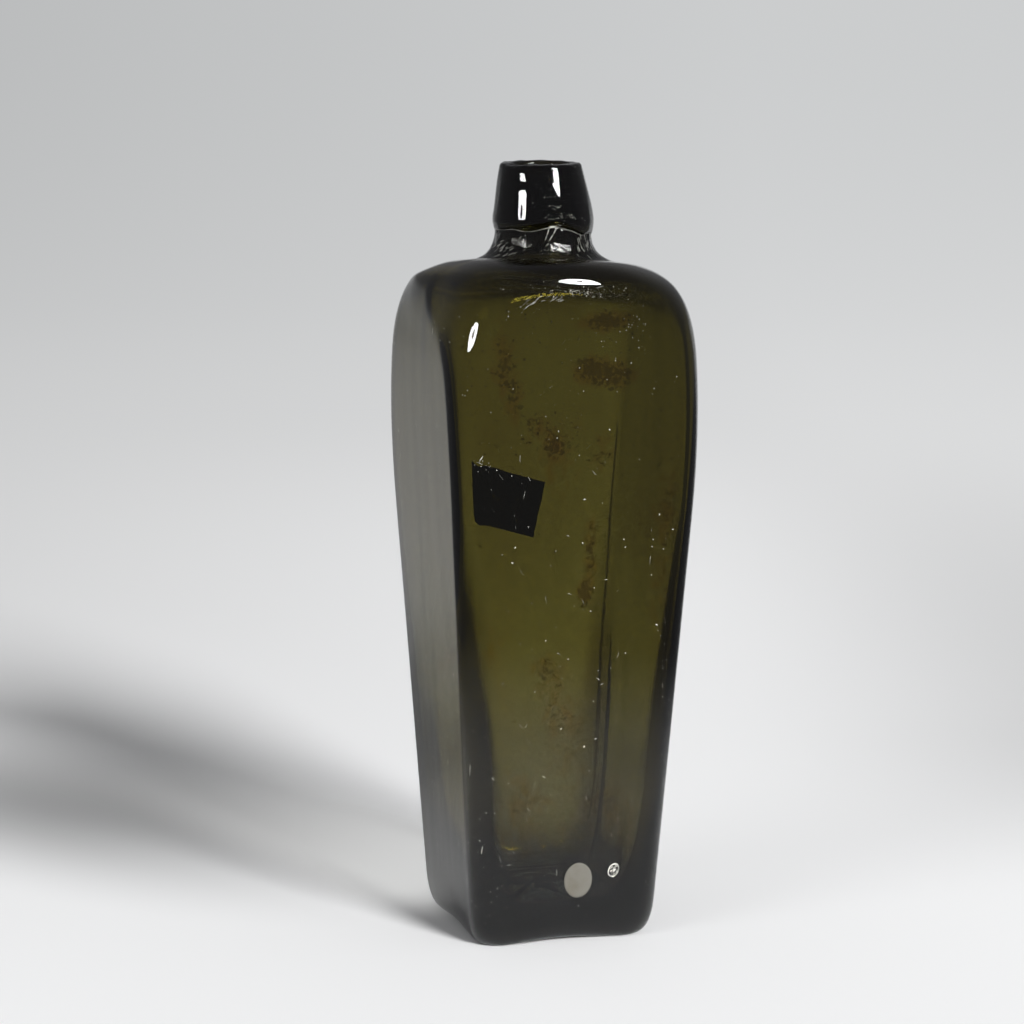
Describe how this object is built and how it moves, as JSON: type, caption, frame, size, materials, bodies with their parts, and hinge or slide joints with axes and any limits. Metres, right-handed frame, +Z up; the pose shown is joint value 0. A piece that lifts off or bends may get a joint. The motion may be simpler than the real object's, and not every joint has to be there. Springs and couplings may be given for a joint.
{
  "type": "gin bottle",
  "caption": "Square tapering case bottle of dark olive glass, wide at the shoulder, with a short round neck, a laid-on tapered lip and two blank paper labels.",
  "frame": {"origin": "middle of the base, on the plane that the four feet stand on", "axes": "+Z up the bottle's axis to the mouth, front face towards -Y, left face towards -X"},
  "size_m": [0.0886, 0.0886, 0.265],
  "materials": {
    "body_glass": "fire-polished, dark olive green, with seeds and scratches",
    "lip_glass": "fire-polished, nearly black olive where it is thick",
    "label_paper": "matt, aged and blank",
    "dot_paper": "matt, worn and blank"
  },
  "bodies": {
    "root": {"bottle_body": "body_glass", "applied_lip": "lip_glass", "lot_label": "label_paper", "dot_label": "dot_paper"}
  },
  "joints": []
}
